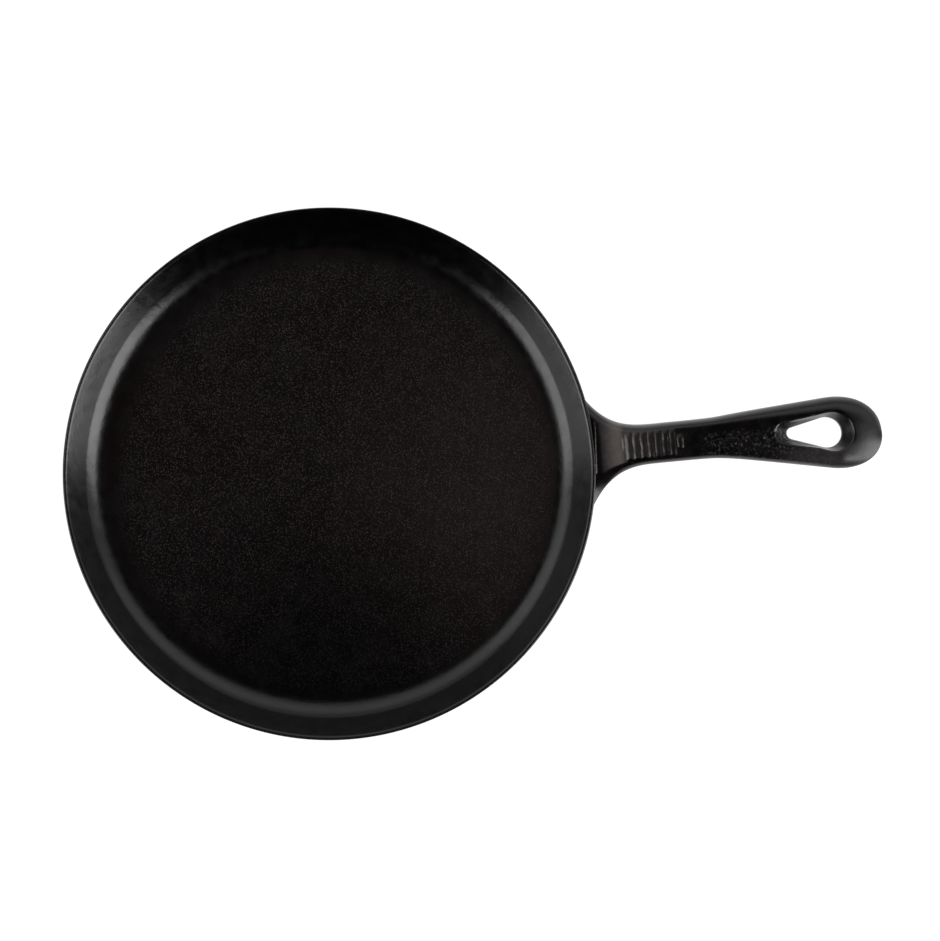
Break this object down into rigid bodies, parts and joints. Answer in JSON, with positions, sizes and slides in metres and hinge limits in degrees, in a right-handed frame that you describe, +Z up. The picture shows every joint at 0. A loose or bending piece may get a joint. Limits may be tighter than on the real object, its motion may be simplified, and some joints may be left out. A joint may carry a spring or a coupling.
{
  "type": "flat iron pan",
  "caption": "Shallow round cast-iron pan with a flat floor, a low flared wall and a long ribbed handle that ends in a tear-shaped hanging eye.",
  "frame": {"origin": "centre of the flat underside, on the surface the pan stands on", "axes": "+X from the pan's centre along the handle, +Z up out of the pan, +Y to the left of the handle seen from above"},
  "size_m": [0.4007, 0.26, 0.0335],
  "materials": {
    "floor_iron": "seasoned black, fine sandy casting grain, low sheen",
    "wall_iron": "seasoned black, smoother than the floor, satin sheen",
    "handle_iron": "seasoned black, as cast, satin sheen with a rough patch on the grip"
  },
  "bodies": {
    "root": {"cooking_floor": "floor_iron", "flared_wall": "wall_iron", "handle_root": "handle_iron", "handle_grip": "handle_iron", "hanging_eye": "handle_iron"}
  },
  "joints": []
}
